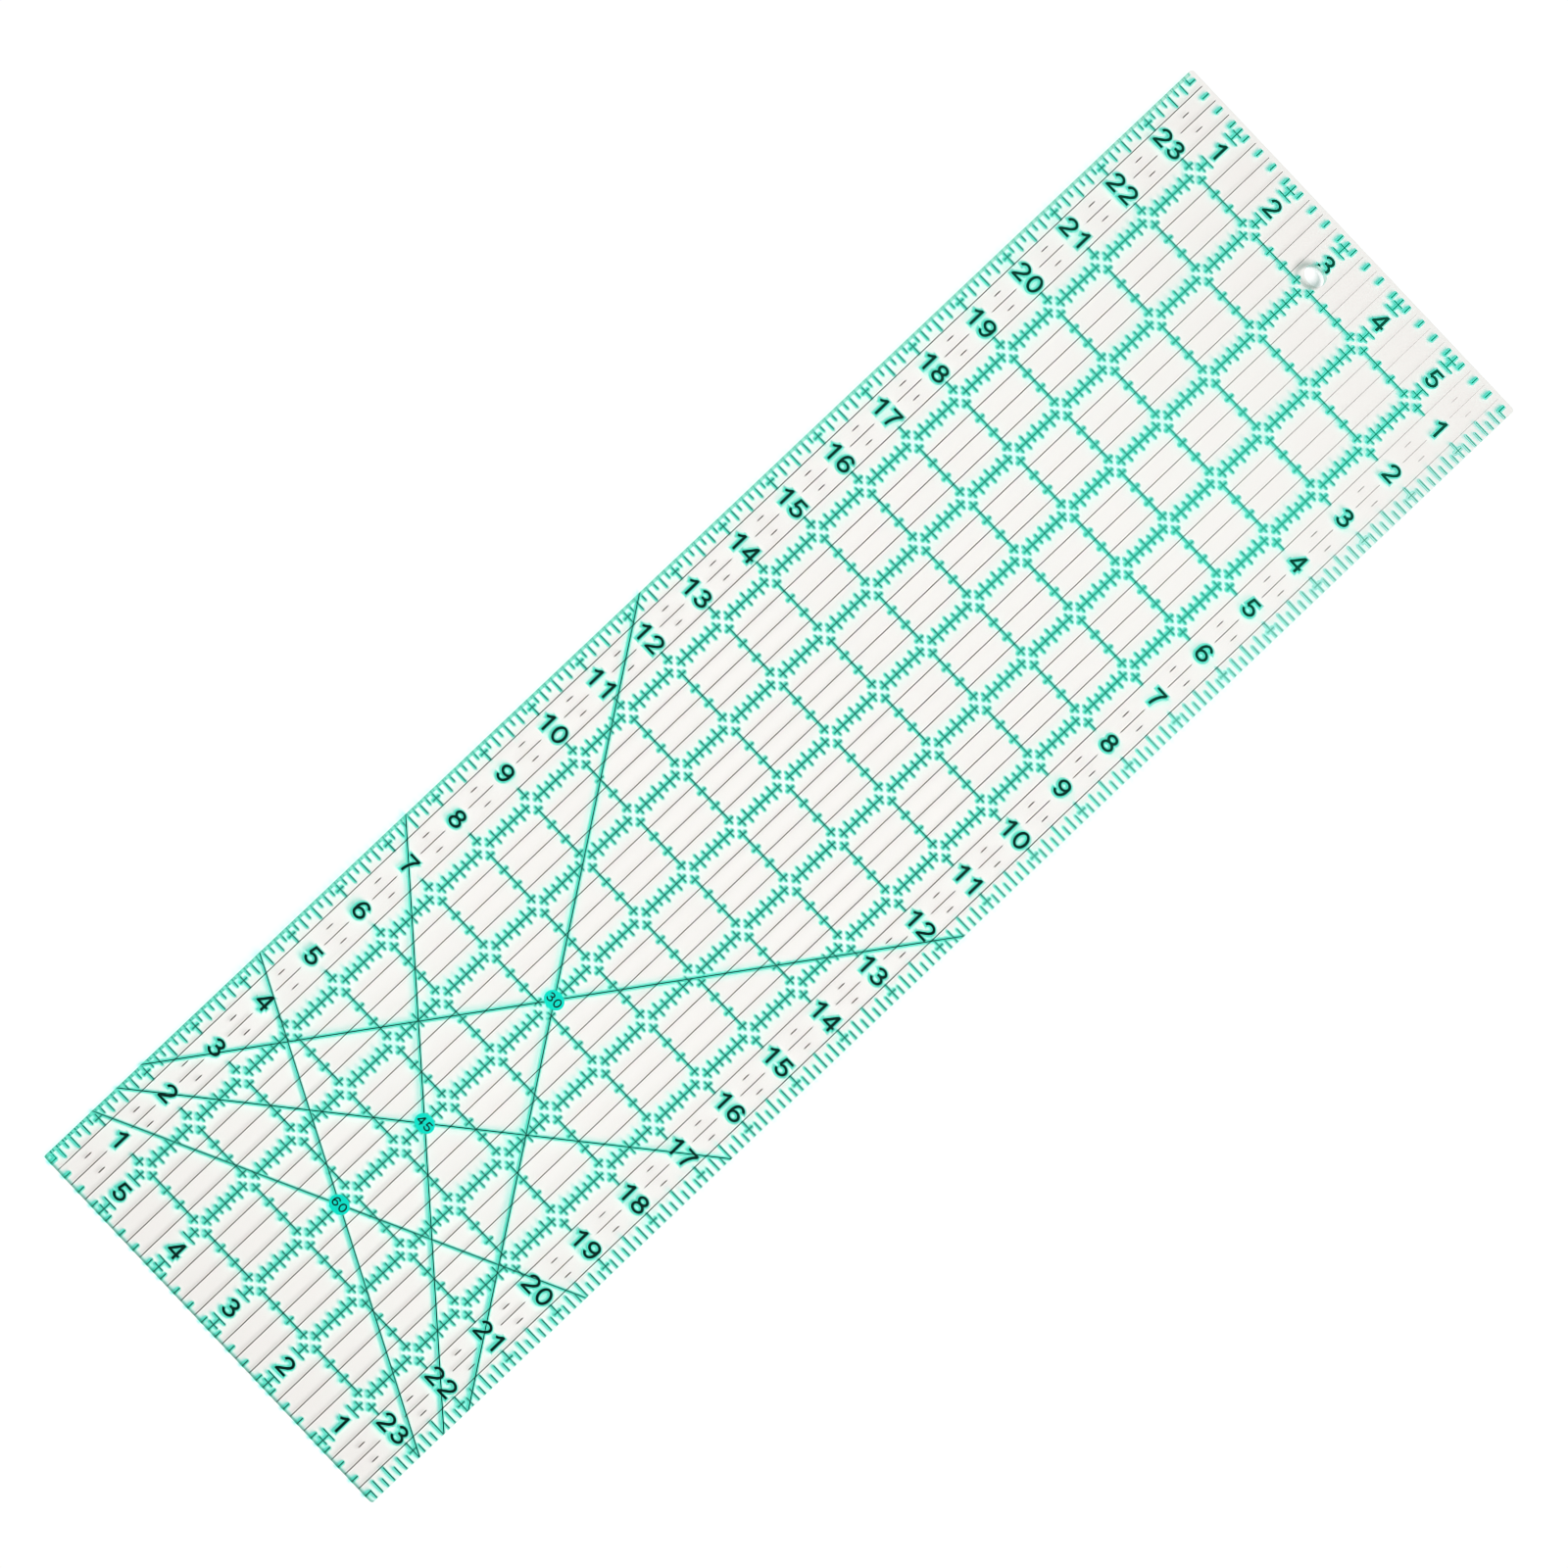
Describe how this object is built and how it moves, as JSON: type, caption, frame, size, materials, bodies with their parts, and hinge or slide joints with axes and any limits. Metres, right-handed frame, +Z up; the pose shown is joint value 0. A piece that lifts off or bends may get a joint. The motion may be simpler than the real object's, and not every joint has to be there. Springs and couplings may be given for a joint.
{
  "type": "quilting ruler",
  "caption": "Clear flat acrylic ruler with a printed inch grid, eighth-inch edge scales, crossing angle lines and a hang hole.",
  "frame": {"origin": "middle of the underside, on the surface that the ruler lies on", "axes": "+X across the ruler from its left long edge to its right one, +Y along it towards the end with the hang hole, +Z up out of the plain top face, away from the print on the underside"},
  "size_m": [0.1524, 0.6096, 0.0026],
  "materials": {
    "clear_acrylic": "clear colourless cast acrylic, polished faces, sawn edges that glow faintly turquoise",
    "turquoise_ink": "translucent turquoise screen ink, smooth semi-gloss",
    "black_ink": "thin black screen ink, slightly see-through, semi-gloss"
  },
  "bodies": {
    "root": {"acrylic_blank": "clear_acrylic", "turquoise_ink_layer": "turquoise_ink", "black_ink_layer": "black_ink"}
  },
  "joints": []
}
